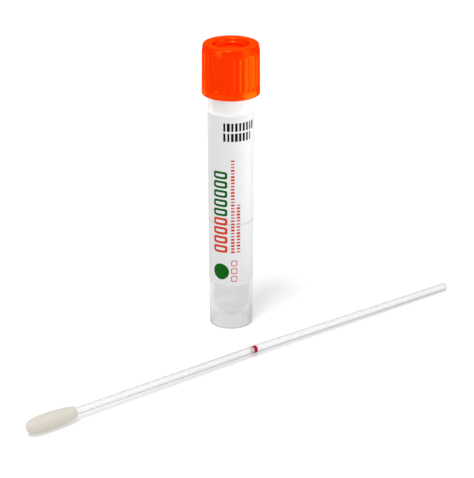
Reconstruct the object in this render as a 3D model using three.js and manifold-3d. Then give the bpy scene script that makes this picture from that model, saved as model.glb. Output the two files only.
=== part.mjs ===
// Specimen swab tube: a self-standing transport tube with its screw cap, sealing ring, label and
// liquid medium, and the flocked swab that lies beside it.
// Millimetres, +Z up. The floor is z = 0, and the swab's shaft runs along X from its tip to its handle.

import * as THREE from 'three'
import { mergeVertices } from 'three/addons/utils/BufferGeometryUtils.js'
import Module from 'manifold-3d'

const wasm = await Module()
wasm.setup()

// ---- Tube ----------------------------------------------------------------------------------------

const tubeHeight = 78.4 // floor to sealing rim
const boreRadius = 5.1 // at the rim
const boreDraft = 0.2 // narrowing of the bore from the rim to the cone
const neckWall = 1.0
const bodyWall = 1.23 // at the shoulder
const footWall = 1.08 // at the floor
const shoulderCover = 1.4 // how far the shoulder stands above the cap's foot
const shoulderRise = 0.6
const rimRound = 0.25
const coneHeight = 3.8 // inside, from its tip up to the bore
const coneWall = 0.9
const tipRadius = 1.0 // flat rounding of the cone's tip
const tipClearance = 0.5 // under the cone's tip
const skirtWall = 1.0
const footRound = 0.3

// ---- Screw thread --------------------------------------------------------------------------------

const threadLead = 3
const threadDepth = 0.5
const threadRootWidth = 1.3
const threadCrestWidth = 0.6
const threadClearance = 0.25 // radial, between each thread and the wall that faces it
const neckThreadTop = 1.9 // rim down to the middle of the neck thread's upper end
const neckThreadFoot = 1.1 // shoulder up to the middle of its lower end
const capThreadTop = 4.0 // underside of the cap down to the middle of its thread's upper end
const capThreadFoot = 0.9 // shoulder up to the middle of its lower end
const threadFade = 0.12 // turns over which each thread's ends run out
const threadSink = 0.2 // how far a thread's root is let into its wall

// ---- Screw cap and sealing ring --------------------------------------------------------------------

const sealThickness = 0.8
const sealClearance = 0.2
const capHeight = 14.1
const capWall = 1.1 // at the plain band
const capDraft = 0.07 // less radius at the top of the ribs than at the band
const capShoulder = 2.2 // height of the plain shoulder above the ribs
const capShoulderStep = 0.3 // how far the shoulder leans in below its rounded edge
const capEdge = 0.4 // rounding of the top edge
const capFoot = 0.3 // rounding of the bottom edge
const bandHeight = 1.9 // plain band below the ribs
const ribCount = 28
const ribDepth = 0.16
const ribFade = 0.9 // height over which each rib's ends run out
const capRim = 2.6 // width of the flat rim round the recess
const recessDepth = 1.3
const recessFloor = 1.0
const recessLean = 0.5 // how much smaller the recess's floor is than its mouth
const plugLength = 3.6
const plugWall = 0.8
const plugClearance = 0.2
const catchLength = 5.7 // tubular boss that catches the broken swab's end
const catchWall = 0.85
const catchClearance = 0.12
const catchFlare = 0.5 // how much wider the boss's mouth is than its bore
const catchLeadIn = 1.0 // height of that flare
const catchGrip = 4.3 // how far the broken swab's end stands in the boss

// ---- Label and medium ------------------------------------------------------------------------------

const labelFoot = 13.1 // floor to the label's lower edge
const labelNeck = 4.9 // label's upper edge to the cap's foot
const labelThickness = 0.08
const labelGap = 0.02
const fillHeight = 31.2 // floor to the medium's surface
const wettingGap = 0.03 // between the medium and the wall round it

// ---- Swab -------------------------------------------------------------------------------------------

const shaftRadius = 1.05 // on the tip's side of the breakpoint
const handleRadius = 1.15
const handleRound = 0.3
const handleLength = 72.4 // middle of the breakpoint to the free end
const waistRadius = 0.88
const waistTaper = 0.5
const markWidth = 1.1
const markThickness = 0.08
const markGap = 0.02
const bow = 1.0 // sideways set of the shaft at its breakpoint
const flockLength = 16.2
const flockRadius = 2.3
const flockNose = 0.9 // fullness of the nose: 0 is pointed, 1 is blunt
const flockSwell = 2.15 // how early the nose swells: small is a square shoulder
const flockBelly = 6.8 // tip to the widest place
const flockHeel = 1.65 // the flock's radius where it ends on the shaft
const flockHeelRound = 0.4
const flockThickness = 1.3 // over the end of the shaft's core
const coreRadius = 0.6 // of the shaft inside the flock
const coreRound = 0.3
const coreGap = 0.05

// ---- Layout -----------------------------------------------------------------------------------------

const tubeAlong = 87.0 // swab's tip to the tube's axis, along the shaft
const tubeBeside = 23.2 // shaft's axis to the tube's axis

// ---- Fineness ---------------------------------------------------------------------------------------

const roundSides = 44
const swabSides = 16
const curveSteps = 3
const flockSteps = 6
const threadSteps = 26 // per turn
const ribSides = 4 // sides round the cap for each rib

// ---- Derived sizes ----------------------------------------------------------------------------------

const neckRadius = boreRadius + neckWall
const shoulderRadius = boreRadius + bodyWall
const boreFoot = boreRadius - boreDraft
const footRadius = boreFoot + footWall
const coneTipZ = tipClearance + coneWall
const coneTopZ = coneTipZ + coneHeight

const neckCrest = neckRadius + threadDepth
const capBore = neckCrest + threadClearance
const capCrest = neckRadius + threadClearance
const capRadius = capBore + capWall
const capUnderside = tubeHeight + sealThickness
const capTopZ = capUnderside + recessFloor + recessDepth
const capFootZ = capTopZ - capHeight

const shoulderZ = capFootZ + shoulderCover
const neckZ = shoulderZ + shoulderRise
const neckThreadZ = neckZ + neckThreadFoot
const capThreadZ = neckThreadZ - threadLead / 2 // the cap's thread runs midway in the neck's

// The broken swab stands on the cone's tip and reaches catchGrip into the cap's boss.
const breakAt = capUnderside - catchLength + catchGrip - coneTipZ
const swabLength = breakAt + handleLength

// The tube's outside and its bore at a height: both are drafted.
const bodyAt = (z) => THREE.MathUtils.mapLinear(z, 0, shoulderZ, footRadius, shoulderRadius)
const boreAt = (z) => THREE.MathUtils.mapLinear(z, coneTopZ, tubeHeight, boreFoot, boreRadius)

// ---- Shaping helpers --------------------------------------------------------------------------------

// A profile in the r-z plane: straight lines between points, and a corner given as
// [r, z, cut] is rounded off by a curve that starts and ends about cut away from it.
function profile(...corners) {
  const points = corners.map(([r, z]) => new THREE.Vector2(r, z))
  const path = new THREE.Path()
  path.moveTo(points[0].x, points[0].y)
  for (let i = 1; i < points.length - 1; i++) {
    const cut = corners[i][2] ?? 0
    if (cut === 0) {
      path.lineTo(points[i].x, points[i].y)
      continue
    }
    const before = points[i - 1].clone().sub(points[i]).setLength(cut).add(points[i])
    const after = points[i + 1].clone().sub(points[i]).setLength(cut).add(points[i])
    path.lineTo(before.x, before.y)
    path.quadraticCurveTo(points[i].x, points[i].y, after.x, after.y)
  }
  path.lineTo(points.at(-1).x, points.at(-1).y)
  return path.getPoints(curveSteps)
}

// The profile turned once round Z.
function turned(points, sides = roundSides) {
  return new THREE.LatheGeometry(points, sides).rotateX(Math.PI / 2)
}

function toSolid(geometry) {
  const bare = geometry.clone().deleteAttribute('normal').deleteAttribute('uv')
  const merged = mergeVertices(bare, 1e-4)
  return new wasm.Manifold(
    new wasm.Mesh({
      numProp: 3,
      vertProperties: merged.attributes.position.array,
      triVerts: new Uint32Array(merged.index.array),
    }),
  )
}

function toGeometry(solid) {
  const mesh = solid.getMesh()
  const geometry = new THREE.BufferGeometry()
  geometry.setAttribute('position', new THREE.BufferAttribute(mesh.vertProperties, 3))
  geometry.setIndex(new THREE.BufferAttribute(mesh.triVerts, 1))
  return geometry
}

// A right-hand helical ridge that stands on a wall of radius root and reaches crest: a long box
// bent round Z. The helix passes through height z at angle 0; the ridge follows it from height
// low to height high and fades out at both ends.
function ridge({ root, crest, z, low, high }) {
  const turns = (high - low) / threadLead
  const box = new THREE.BoxGeometry(1, 1, 1, 1, Math.round(threadSteps * turns), 1)
  const spots = box.attributes.position
  const sunk = root - Math.sign(crest - root) * threadSink
  for (let i = 0; i < spots.count; i++) {
    const along = spots.getY(i) + 0.5
    const onCrest = crest > root ? spots.getX(i) > 0 : spots.getX(i) < 0
    const rise = Math.min(1, (Math.min(along, 1 - along) * turns) / threadFade)
    const radius = onCrest ? THREE.MathUtils.lerp((root + sunk) / 2, crest, rise) : sunk
    const width = onCrest ? threadCrestWidth : threadRootWidth
    const middle = THREE.MathUtils.lerp(low, high, along)
    const angle = ((middle - z) / threadLead) * 2 * Math.PI
    spots.setXYZ(i, radius * Math.cos(angle), radius * Math.sin(angle), middle + spots.getZ(i) * width)
  }
  return box
}

// ---- Tube -------------------------------------------------------------------------------------------

function tubeGeometry() {
  const slope = coneHeight / (boreFoot - tipRadius)
  const drop = coneWall * Math.hypot(1, slope) // the cone's wall, measured straight down
  const skirtBore = footRadius - skirtWall
  const roof = coneTipZ - drop + (skirtBore - tipRadius) * slope
  const outline = profile(
    [0, tipClearance],
    [tipRadius, tipClearance],
    [skirtBore, roof],
    [skirtBore, 0],
    [footRadius, 0, footRound],
    [shoulderRadius, shoulderZ],
    [neckRadius, neckZ],
    [neckRadius, tubeHeight, rimRound],
    [boreRadius, tubeHeight, rimRound],
    [boreFoot, coneTopZ, tipRadius],
    [tipRadius, coneTipZ],
    [0, coneTipZ],
  )
  const thread = ridge({
    root: neckRadius,
    crest: neckCrest,
    z: neckThreadZ,
    low: neckThreadZ,
    high: tubeHeight - neckThreadTop,
  })
  return toGeometry(toSolid(turned(outline)).add(toSolid(thread)))
}

// ---- Screw cap --------------------------------------------------------------------------------------

// The cap's outside: a turned blank whose grip is pressed in between the ribs.
function capBlank() {
  const ribTop = capTopZ - capShoulder
  const ribFoot = capFootZ + bandHeight
  const top = capRadius - capDraft
  const grip = (z) => THREE.MathUtils.mapLinear(z, ribFoot, ribTop, capRadius, top)
  const outline = profile(
    [0, capFootZ],
    [capRadius, capFootZ, capFoot],
    [grip(ribFoot), ribFoot],
    [grip(ribFoot + ribFade), ribFoot + ribFade],
    [grip(ribTop - ribFade), ribTop - ribFade],
    [grip(ribTop), ribTop],
    [top - capShoulderStep, capTopZ, capEdge],
    [0, capTopZ],
  )
  const blank = turned(outline, ribCount * ribSides)
  const spots = blank.attributes.position
  const sideAngle = (2 * Math.PI) / (ribCount * ribSides)
  for (let i = 0; i < spots.count; i++) {
    const z = spots.getZ(i)
    const side = Math.round(Math.atan2(spots.getY(i), spots.getX(i)) / sideAngle)
    const between = THREE.MathUtils.euclideanModulo(side, ribSides) >= ribSides / 2
    if (!between || z < ribFoot + ribFade / 2 || z > ribTop - ribFade / 2) continue
    const radius = Math.hypot(spots.getX(i), spots.getY(i))
    const share = (radius - ribDepth) / radius
    spots.setXYZ(i, spots.getX(i) * share, spots.getY(i) * share, z)
  }
  return blank
}

// What the cap is hollowed by from below: its bore, round a plug for the tube's mouth and a boss.
function capHollow() {
  const plugRadius = boreRadius - plugClearance
  const plugBore = plugRadius - plugWall
  const catchBore = shaftRadius + catchClearance
  const catchRadius = catchBore + catchWall
  return profile(
    [0, capFootZ - capFoot],
    [capBore, capFootZ - capFoot],
    [capBore, capUnderside],
    [plugRadius, capUnderside],
    [plugRadius, capUnderside - plugLength],
    [plugBore, capUnderside - plugLength],
    [plugBore, capUnderside],
    [catchRadius, capUnderside],
    [catchRadius, capUnderside - catchLength],
    [catchBore + catchFlare, capUnderside - catchLength],
    [catchBore, capUnderside - catchLength + catchLeadIn],
    [catchBore, capUnderside],
    [0, capUnderside],
  )
}

function capGeometry() {
  const recess = capRadius - capDraft - capShoulderStep - capRim
  const dish = profile(
    [0, capTopZ - recessDepth],
    [recess - recessLean, capTopZ - recessDepth, recessLean],
    [recess, capTopZ],
    [recess, capTopZ + capEdge],
    [0, capTopZ + capEdge],
  )
  const thread = ridge({
    root: capBore,
    crest: capCrest,
    z: capThreadZ,
    low: neckZ + capThreadFoot,
    high: capUnderside - capThreadTop,
  })
  const hollow = toSolid(turned(capHollow())).add(toSolid(turned(dish)))
  return toGeometry(toSolid(capBlank()).subtract(hollow).add(toSolid(thread)))
}

function sealGeometry() {
  const outer = capBore - sealClearance
  return turned(
    profile(
      [boreRadius, tubeHeight],
      [outer, tubeHeight],
      [outer, capUnderside],
      [boreRadius, capUnderside],
      [boreRadius, tubeHeight],
    ),
  )
}

// ---- Label and medium -------------------------------------------------------------------------------

function labelGeometry() {
  const labelTop = capFootZ - labelNeck
  const inner = (z) => bodyAt(z) + labelGap
  const outer = (z) => inner(z) + labelThickness
  return turned(
    profile(
      [inner(labelFoot), labelFoot],
      [outer(labelFoot), labelFoot],
      [outer(labelTop), labelTop],
      [inner(labelTop), labelTop],
      [inner(labelFoot), labelFoot],
    ),
  )
}

function mediumGeometry() {
  const inside = (r) => r - wettingGap
  return turned(
    profile(
      [0, coneTipZ + wettingGap],
      [inside(tipRadius), coneTipZ + wettingGap],
      [inside(boreFoot), coneTopZ + wettingGap, tipRadius],
      [inside(boreAt(fillHeight)), fillHeight],
      [0, fillHeight],
    ),
  )
}

// ---- Swab -------------------------------------------------------------------------------------------

// A piece of the swab: turned round X, then bent sideways in plan at the breakpoint.
function swabTurned(points) {
  const geometry = turned(points, swabSides).rotateY(Math.PI / 2)
  const spots = geometry.attributes.position
  for (let i = 0; i < spots.count; i++) {
    const x = spots.getX(i)
    const share = Math.min(x / breakAt, (swabLength - x) / (swabLength - breakAt))
    spots.setY(i, spots.getY(i) + bow * share)
  }
  return geometry
}

function shaftGeometry() {
  const half = markWidth / 2
  return swabTurned(
    profile(
      [0, flockThickness],
      [coreRadius, flockThickness, coreRound],
      [coreRadius, flockLength - shaftRadius],
      [shaftRadius, flockLength],
      [shaftRadius, breakAt - half - waistTaper],
      [waistRadius, breakAt - half],
      [waistRadius, breakAt + half],
      [handleRadius, breakAt + half + waistTaper],
      [handleRadius, swabLength, handleRound],
      [0, swabLength],
    ),
  )
}

// The flock is a blunt bullet round the shaft's core, open where the shaft comes out of it.
function flockGeometry() {
  const bore = coreRadius + coreGap
  const heel = flockLength - shaftRadius - coreGap
  const outline = new THREE.Path()
  outline.moveTo(0, 0)
  outline.bezierCurveTo(flockNose * flockRadius, 0, flockRadius, flockSwell, flockRadius, flockBelly)
  outline.quadraticCurveTo(flockRadius, (flockBelly + heel) / 2, flockHeel, heel - flockHeelRound)
  outline.lineTo(flockHeel - flockHeelRound, heel)
  outline.lineTo(bore, heel)
  outline.lineTo(bore, flockThickness - coreGap)
  outline.lineTo(0, flockThickness - coreGap)
  return swabTurned(outline.getPoints(flockSteps))
}

function markGeometry() {
  const inner = waistRadius + markGap
  const half = markWidth / 2
  return swabTurned(
    profile(
      [inner, breakAt - half],
      [inner + markThickness, breakAt - half],
      [inner + markThickness, breakAt + half],
      [inner, breakAt + half],
      [inner, breakAt - half],
    ),
  )
}

// ---- Materials --------------------------------------------------------------------------------------

const plastic = (color, roughness, opacity = 1) =>
  new THREE.MeshStandardMaterial({ color, roughness, metalness: 0, opacity, transparent: opacity < 1 })

const naturalPolypropylene = plastic(0xe6e8e4, 0.35, 0.5)
const orangePolypropylene = plastic(0xfb4207, 0.4)
const paleElastomer = plastic(0xe8e6e0, 0.6)
const labelFilm = plastic(0xf4f4f2, 0.45)
const clearMedium = plastic(0xe4e8e4, 0.1, 0.45)
const frostedShaft = plastic(0xf1f2f2, 0.4, 0.8)
const creamFlock = plastic(0xe6ddcc, 0.95)
const crimsonInk = plastic(0xc01838, 0.5)

// ---- Assembly ---------------------------------------------------------------------------------------

function piece(name, geometry, material) {
  const mesh = new THREE.Mesh(geometry, material)
  mesh.name = name
  return mesh
}

const vial = new THREE.Group()
vial.position.set(tubeAlong, tubeBeside, 0)
vial.add(
  piece('tube', tubeGeometry(), naturalPolypropylene),
  piece('screw_cap', capGeometry(), orangePolypropylene),
  piece('sealing_ring', sealGeometry(), paleElastomer),
  piece('label', labelGeometry(), labelFilm),
  piece('transport_medium', mediumGeometry(), clearMedium),
)

// The swab lies on the belly of its tip and on the end of its handle.
const swab = new THREE.Group()
swab.add(
  piece('swab_shaft', shaftGeometry(), frostedShaft),
  piece('flocked_tip', flockGeometry(), creamFlock),
  piece('breakpoint_mark', markGeometry(), crimsonInk),
)
swab.rotation.y = Math.asin((flockRadius - handleRadius) / (swabLength - flockBelly))
swab.position.z = -new THREE.Box3().setFromObject(swab, true).min.z

// The origin is under the middle of the whole set.
const group = new THREE.Group()
group.add(vial, swab)
const middle = new THREE.Box3().setFromObject(group, true).getCenter(new THREE.Vector3())
group.position.set(-middle.x, -middle.y, 0)

export default group
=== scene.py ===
"""Looks of a specimen swab tube: a self-standing transport tube with its screw cap, sealing ring,
label and liquid medium, and the flocked swab that lies beside it.

Sizes are in metres in the part's own frame: +Z is up, the floor is z = 0, and the swab's shaft
runs along X from its tip to its handle. Each sub-assembly is a class that takes its place from
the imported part, builds its meshes and dresses them.
"""

import logging
import math
from collections.abc import Callable, Iterable
from dataclasses import dataclass, field
from enum import Enum

import bpy
import numpy as np
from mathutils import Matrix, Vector

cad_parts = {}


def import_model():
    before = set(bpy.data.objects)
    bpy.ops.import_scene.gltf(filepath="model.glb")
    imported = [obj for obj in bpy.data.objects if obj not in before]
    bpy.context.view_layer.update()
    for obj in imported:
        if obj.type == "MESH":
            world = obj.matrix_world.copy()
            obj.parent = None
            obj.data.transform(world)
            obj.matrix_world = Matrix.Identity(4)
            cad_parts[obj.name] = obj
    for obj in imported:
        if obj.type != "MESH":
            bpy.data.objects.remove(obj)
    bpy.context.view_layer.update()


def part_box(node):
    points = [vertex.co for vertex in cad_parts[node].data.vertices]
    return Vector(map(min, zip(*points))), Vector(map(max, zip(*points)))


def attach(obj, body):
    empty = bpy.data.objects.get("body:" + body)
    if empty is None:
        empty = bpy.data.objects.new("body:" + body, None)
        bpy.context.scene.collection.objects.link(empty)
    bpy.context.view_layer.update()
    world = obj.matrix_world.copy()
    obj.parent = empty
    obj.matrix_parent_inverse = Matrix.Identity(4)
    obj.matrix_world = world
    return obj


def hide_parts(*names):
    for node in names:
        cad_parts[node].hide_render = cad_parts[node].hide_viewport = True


MM = 0.001
TAU = 2 * math.pi
ROUND_STEPS = 6  # straight pieces in a rounded corner
SHARP_EDGE = math.radians(38)  # an edge that turns more than this is shaded sharp
NODE_STEP = 180  # from one node to the next in the node editor

Rule = Callable[[np.ndarray, np.ndarray, np.ndarray], np.ndarray]
Colour = tuple[float, float, float, float]
Values = dict[str | int, object]

log = logging.getLogger("swab_tube")


# ---- Shaping ---------------------------------------------------------------------------------------


def smooth(share: np.ndarray) -> np.ndarray:
    """Eases a share in and out, and holds it between 0 and 1."""
    held = np.clip(share, 0.0, 1.0)
    return held * held * (3 - 2 * held)


def outline(*corners: tuple[float, ...]) -> np.ndarray:
    """Points of an outline in the r-z plane.

    Args:
        corners: (r, z) of each corner in order, or (r, z, cut) for a corner that is rounded off
            by a curve that starts and ends a length of cut away from it.

    Returns:
        One (r, z) row for each point.
    """
    spots = [np.array(corner[:2]) for corner in corners]
    points = [spots[0]]
    for before, spot, after, corner in zip(spots, spots[1:], spots[2:], corners[1:]):
        if len(corner) < 3:
            points.append(spot)
            continue
        start = spot + (before - spot) / np.linalg.norm(before - spot) * corner[2]
        end = spot + (after - spot) / np.linalg.norm(after - spot) * corner[2]
        for share in np.linspace(0, 1, ROUND_STEPS + 1):
            points.append((1 - share) ** 2 * start + 2 * share * (1 - share) * spot + share**2 * end)
    points.append(spots[-1])
    return np.array(points)


def refined(
    points: np.ndarray, pitch: float, low: float = -math.inf, high: float = math.inf
) -> np.ndarray:
    """Cuts an outline's long pieces up where they run between two heights.

    Args:
        points: (r, z) rows.
        pitch: Longest piece that is left there.
        low: Lowest height of the stretch that is cut up.
        high: Highest height of that stretch.

    Returns:
        The outline's (r, z) rows with the new points in it.
    """
    rows = [points[0]]
    for start, end in zip(points, points[1:]):
        inside = low <= (start[1] + end[1]) / 2 <= high
        pieces = max(1, math.ceil(np.linalg.norm(end - start) / pitch)) if inside else 1
        rows.extend(start + (end - start) * share for share in np.linspace(0, 1, pieces + 1)[1:])
    return np.array(rows)


def grid_faces(
    rows: int, count: int, rows_join: bool = True, ends_join: bool = True
) -> list[list[int]]:
    """The faces between the points of a grid.

    Args:
        rows: Rows of points.
        count: Points in each row.
        rows_join: Whether the last row joins the first one.
        ends_join: Whether the last point of a row joins its first one.

    Returns:
        The four point numbers of each face.
    """
    faces: list[list[int]] = []
    for row in range(rows if rows_join else rows - 1):
        here, there = row * count, (row + 1) % rows * count
        for spot in range(count if ends_join else count - 1):
            after = (spot + 1) % count
            faces.append([here + spot, here + after, there + after, there + spot])
    return faces


def turned(
    points: np.ndarray, sides: int, closed: bool = False, rule: Rule | None = None
) -> bpy.types.Mesh:
    """An outline turned once round Z.

    Args:
        points: (r, z) rows with the material on the left of their run. Ends at r = 0 become poles.
        sides: Sides round the axis.
        closed: Whether the last point joins the first one.
        rule: Takes each vertex's angle, radius and height, and gives its new radius.

    Returns:
        A smooth mesh with its sharp edges marked.
    """
    rows = len(points)
    angle = np.broadcast_to(np.arange(sides) * TAU / sides, (rows, sides))
    radius = np.broadcast_to(points[:, :1], (rows, sides))
    height = np.broadcast_to(points[:, 1:], (rows, sides))
    if rule is not None:
        radius = rule(angle, radius, height)
    grid = np.stack((radius * np.cos(angle), radius * np.sin(angle), height), axis=-1)
    number = np.arange(rows * sides).reshape(rows, sides)
    poles = points[:, 0] == 0
    number[poles] = number[poles, :1]
    faces = number.ravel()[grid_faces(rows, sides, rows_join=closed)].tolist()
    return smooth_mesh(grid.reshape(-1, 3), [list(dict.fromkeys(face)) for face in faces])


def smooth_mesh(spots: np.ndarray, faces: list[list[int]]) -> bpy.types.Mesh:
    """A smooth-shaded mesh from vertices and faces, without the vertices that no face uses.

    Args:
        spots: x, y, z rows.
        faces: The vertex numbers of each face, anticlockwise from outside.

    Returns:
        The mesh, with its sharp edges marked.
    """
    used = sorted({corner for face in faces for corner in face})
    number = {old: new for new, old in enumerate(used)}
    mesh = bpy.data.meshes.new("shape")
    mesh.from_pydata(spots[used].tolist(), [], [[number[corner] for corner in face] for face in faces])
    mesh.shade_smooth()
    mesh.set_sharp_from_angle(angle=SHARP_EDGE)
    return mesh


def places(mesh: bpy.types.Mesh) -> np.ndarray:
    """The x, y, z rows of a mesh's vertices.

    Args:
        mesh: The mesh.

    Returns:
        One row for each vertex.
    """
    spots = np.empty(len(mesh.vertices) * 3, np.float32)
    mesh.vertices.foreach_get("co", spots)
    return spots.reshape(-1, 3)


def moved(mesh: bpy.types.Mesh, rule: Callable[[np.ndarray], np.ndarray]) -> bpy.types.Mesh:
    """Moves a mesh's vertices.

    Args:
        mesh: The mesh.
        rule: Takes the vertices' x, y, z rows and gives their new ones.

    Returns:
        The same mesh.
    """
    mesh.vertices.foreach_set("co", rule(places(mesh)).astype(np.float32).ravel())
    mesh.update()
    return mesh


@dataclass(frozen=True)
class Helix:
    """A right-hand screw thread on a wall that is turned round Z.

    The thread's middle passes the height start at angle 0. It runs from the height low to the
    height high, and fades out at both ends over a share of a turn, which is fade.
    """

    start: float
    low: float
    high: float
    lead: float = 3.0 * MM
    root_width: float = 1.3 * MM
    crest_width: float = 0.6 * MM
    fade: float = 0.12

    def rise(self, angle: np.ndarray, height: np.ndarray) -> np.ndarray:
        """How far the thread stands up.

        Args:
            angle: Angles round the axis.
            height: Heights of the same points.

        Returns:
            0 on the wall and 1 on the crest.
        """
        turn = angle / TAU
        middle = self.start + self.lead * (np.round((height - self.start) / self.lead - turn) + turn)
        slope = (self.root_width - self.crest_width) / 2
        flank = (self.root_width / 2 - np.abs(height - middle)) / slope
        ends = np.minimum(middle - self.low, self.high - middle) / self.lead / self.fade
        return smooth(flank) * np.clip(ends, 0.0, 1.0)


# ---- Node trees --------------------------------------------------------------------------------------


class NodeSheet:
    """Adds nodes to one tree, and links them as they are added."""

    def __init__(self, tree: bpy.types.NodeTree) -> None:
        """Takes the tree that is written to."""
        self.tree = tree

    @classmethod
    def cleared(cls, owner: bpy.types.Material | bpy.types.World) -> "NodeSheet":
        """A sheet for the emptied node tree of a material or a world.

        Args:
            owner: The material or the world.

        Returns:
            The sheet.
        """
        owner.use_nodes = True
        owner.node_tree.nodes.clear()
        return cls(owner.node_tree)

    def add(self, kind: str, inputs: Values | None = None, **settings: object) -> bpy.types.Node:
        """Adds one node.

        Args:
            kind: The node's type.
            inputs: For each input, its value or the socket that feeds it.
            settings: The node's own properties.

        Returns:
            The new node.
        """
        node = self.tree.nodes.new(kind)
        node.location.x = NODE_STEP * len(self.tree.nodes)
        for name, value in settings.items():
            setattr(node, name, value)
        for key, value in (inputs or {}).items():
            socket = node.inputs[key] if isinstance(key, int) else self.live(node.inputs, key)
            if isinstance(value, bpy.types.NodeSocket):
                self.tree.links.new(value, socket)
            else:
                socket.default_value = value
        return node

    @staticmethod
    def live(sockets: Iterable[bpy.types.NodeSocket], name: str) -> bpy.types.NodeSocket:
        """The socket of a name that the node's settings leave in use."""
        return next(socket for socket in sockets if socket.name == name and socket.enabled)

    def maths(self, operation: str, *values: object) -> bpy.types.NodeSocket:
        """The result of one Math node on values or sockets."""
        return self.add("ShaderNodeMath", dict(enumerate(values)), operation=operation).outputs[0]

    def vector_maths(self, operation: str, *values: object) -> bpy.types.NodeSocket:
        """The vector result of one Vector Math node on values or sockets."""
        inputs = dict(enumerate(values))
        return self.add("ShaderNodeVectorMath", inputs, operation=operation).outputs["Vector"]

    def number(self, operation: str, *values: object) -> bpy.types.NodeSocket:
        """The number that one Vector Math node makes of values or sockets."""
        inputs = dict(enumerate(values))
        return self.add("ShaderNodeVectorMath", inputs, operation=operation).outputs["Value"]

    def scaled(self, vector: object, share: object) -> bpy.types.NodeSocket:
        """A vector times a number."""
        inputs = {0: vector, "Scale": share}
        return self.add("ShaderNodeVectorMath", inputs, operation="SCALE").outputs["Vector"]

    def eased(
        self, value: object, low: float, high: float, start: object = 0.0, end: object = 1.0
    ) -> bpy.types.NodeSocket:
        """Maps a value smoothly from one range onto another, and holds it there.

        Args:
            value: The value.
            low: Where the first range starts.
            high: Where it ends.
            start: The result at low.
            end: The result at high.

        Returns:
            The socket that holds the result.
        """
        names = ("Value", "From Min", "From Max", "To Min", "To Max")
        inputs = dict(zip(names, (value, low, high, start, end)))
        return self.add("ShaderNodeMapRange", inputs, interpolation_type="SMOOTHSTEP").outputs[0]

    def place(self) -> bpy.types.NodeSocket:
        """Where the shaded point is on its object."""
        return self.add("ShaderNodeTexCoord").outputs["Object"]

    def height(self, place: bpy.types.NodeSocket) -> bpy.types.NodeSocket:
        """The height of a place."""
        return self.add("ShaderNodeSeparateXYZ", {0: place}).outputs["Z"]

    def from_axis(self, place: bpy.types.NodeSocket, axis: object) -> bpy.types.NodeSocket:
        """The level way from an upright axis to a place."""
        return self.vector_maths("MULTIPLY", self.vector_maths("SUBTRACT", place, axis), (1, 1, 0))

    def edge_on(self, blend: float) -> bpy.types.NodeSocket:
        """0 where a surface is seen straight on, and 1 where it is seen edge-on."""
        return self.add("ShaderNodeLayerWeight", {"Blend": blend}).outputs["Facing"]

    def mixed(self, share: object, first: object, second: object) -> bpy.types.NodeSocket:
        """A colour that is the first one where the share is 0 and the second one where it is 1."""
        inputs = {"Factor": share, "A": first, "B": second}
        return self.live(self.add("ShaderNodeMix", inputs, data_type="RGBA").outputs, "Result")

    def random(self, kind: str, low: object, high: object, seed: object) -> bpy.types.NodeSocket:
        """A random value for each element.

        Args:
            kind: The value's data type.
            low: Its lower limit.
            high: Its upper limit.
            seed: The seed.

        Returns:
            The socket that holds the value.
        """
        inputs = {"Min": low, "Max": high, "Seed": seed}
        node = self.add("FunctionNodeRandomValue", inputs, data_type=kind)
        return self.live(node.outputs, "Value")


class Recipe:
    """A Geometry Nodes tree with named inputs. A subclass states them and adds its own nodes."""

    name: str = "recipe"
    sockets: dict[str, str] = {}

    def __init__(self) -> None:
        """Builds the tree: the inputs, the subclass's nodes, Realize Instances and Set Material."""
        self.tree = bpy.data.node_groups.new(self.name, "GeometryNodeTree")
        self.keys: dict[str, str] = {}
        geometry = "NodeSocketGeometry"
        for name, kind in {"Geometry": geometry, **self.sockets, "Finish": "NodeSocketMaterial"}.items():
            socket = self.tree.interface.new_socket(name=name, in_out="INPUT", socket_type=kind)
            self.keys[name] = socket.identifier
        self.tree.interface.new_socket(name="Geometry", in_out="OUTPUT", socket_type=geometry)
        sheet = NodeSheet(self.tree)
        given = sheet.add("NodeGroupInput").outputs
        made = self.lay_out(sheet, given)
        loose = sheet.add("GeometryNodeRealizeInstances", {"Geometry": made}).outputs[0]
        dressed = sheet.add("GeometryNodeSetMaterial", {"Geometry": loose, "Material": given["Finish"]})
        sheet.add("NodeGroupOutput", {"Geometry": dressed.outputs[0]})

    def lay_out(self, sheet: NodeSheet, given: bpy.types.NodeOutputs) -> bpy.types.NodeSocket:
        """Adds the nodes that make the geometry.

        Args:
            sheet: Where the nodes go.
            given: The tree's named inputs.

        Returns:
            The socket that holds the geometry.
        """
        raise NotImplementedError

    def apply(self, piece: bpy.types.Object, **values: object) -> None:
        """Adds the tree to a piece as a modifier.

        Args:
            piece: The object that is changed.
            values: The tree's inputs by name, with _ for a space.
        """
        modifier = piece.modifiers.new(self.name, "NODES")
        modifier.node_group = self.tree
        for name, value in values.items():
            modifier[self.keys[name.replace("_", " ")]] = value


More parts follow.
